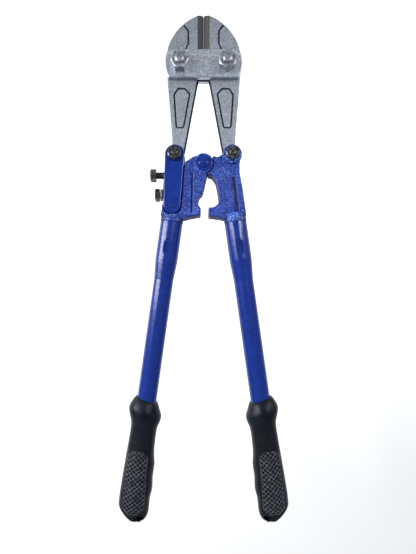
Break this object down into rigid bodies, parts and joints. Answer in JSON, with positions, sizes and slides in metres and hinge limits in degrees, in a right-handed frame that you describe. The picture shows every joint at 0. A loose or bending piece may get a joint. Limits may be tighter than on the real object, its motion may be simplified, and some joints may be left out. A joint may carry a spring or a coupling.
{
  "type": "bolt cutters",
  "caption": "Compound-action bolt cutters with forged jaws, joint plates, adjustable link, cast arms, tubular handles and ribbed rubber grips.",
  "frame": {"origin": "centre of the closed tool's outline, on the surface it lies on, level with the flats of the rear pivot bolt heads", "axes": "+Y towards the jaw tips, +X towards the right-hand handle seen from the nut side, +Z through the thickness towards the nuts"},
  "size_m": [0.1508, 0.4547, 0.035],
  "materials": {
    "blade_steel": "satin, lightly blasted",
    "plate_steel": "satin",
    "bright_fastener": "semi-bright",
    "blue_casting": "gloss paint over rough sand casting",
    "blue_tube": "smooth gloss paint",
    "blue_plate": "smooth gloss paint",
    "black_fastener": "black oxide, oily",
    "grip_rubber": "satin black"
  },
  "bodies": {
    "head": {"front_joint_plate": "plate_steel", "rear_joint_plate": "plate_steel", "left_pivot_bolt": "bright_fastener", "right_pivot_bolt": "bright_fastener", "left_pivot_nut": "bright_fastener", "right_pivot_nut": "bright_fastener"},
    "left_blade": {"left_blade": "blade_steel"},
    "right_blade": {"right_blade": "blade_steel"},
    "left_link": {"front_link_plate": "blue_plate", "rear_link_plate": "blue_plate", "adjuster_block": "blue_casting", "link_rivet": "blue_plate", "left_tail_bolt": "black_fastener", "left_tail_nut": "black_fastener"},
    "jack_screw": {"jack_screw": "black_fastener"},
    "clamp_screw": {"clamp_screw": "black_fastener", "clamp_washer": "bright_fastener"},
    "left_arm": {"left_arm_casting": "blue_casting", "left_handle_tube": "blue_tube", "left_grip": "grip_rubber", "centre_pivot_pin": "blue_casting", "front_pivot_washer": "blue_casting", "rear_pivot_washer": "blue_casting"},
    "right_arm": {"right_arm_casting": "blue_casting", "right_tail_bolt": "black_fastener", "right_tail_nut": "black_fastener", "right_handle_tube": "blue_tube", "right_grip": "grip_rubber"}
  },
  "joints": [
    {"name": "centre_pivot", "type": "hinge", "parent": "left_arm", "child": "right_arm", "pos_m": [0, 0.094, 0.015], "axis": [0, 0, 1], "range_deg": [0, 90]},
    {"name": "left_blade_pivot", "type": "hinge", "parent": "head", "child": "left_blade", "pos_m": [-0.0207, 0.1806, 0.015], "axis": [0, 0, 1], "range_deg": [-0.1, 9.39]},
    {"name": "right_blade_pivot", "type": "hinge", "parent": "head", "child": "right_blade", "pos_m": [0.0207, 0.1806, 0.015], "axis": [0, 0, 1], "range_deg": [-9.39, 0.1]},
    {"name": "left_tail_pivot", "type": "hinge", "parent": "left_blade", "child": "left_link", "pos_m": [-0.0254, 0.1016, 0.015], "axis": [0, 0, 1], "range_deg": [-54.59, 0.3]},
    {"name": "link_adjust", "type": "hinge", "parent": "left_link", "child": "left_arm", "pos_m": [-0.0279, 0.0571, 0.015], "axis": [0, 0, 1], "range_deg": [-0.5, 0]},
    {"name": "jack_screw_turn", "type": "hinge", "parent": "left_link", "child": "jack_screw", "pos_m": [-0.04, 0.085, 0.015], "axis": [1, 0, 0], "range_deg": [-1, 89]},
    {"name": "clamp_screw_turn", "type": "hinge", "parent": "left_link", "child": "clamp_screw", "pos_m": [-0.04, 0.0674, 0.015], "axis": [-1, 0, 0], "range_deg": [0, 90]}
  ],
  "couplings": [
    {"joint": "left_blade_pivot", "follows": "centre_pivot", "ratio": 0.10321},
    {"joint": "right_blade_pivot", "follows": "centre_pivot", "ratio": -0.10321},
    {"joint": "left_tail_pivot", "follows": "centre_pivot", "ratio": -0.60321},
    {"joint": "jack_screw_turn", "follows": "link_adjust", "ratio": -175}
  ]
}
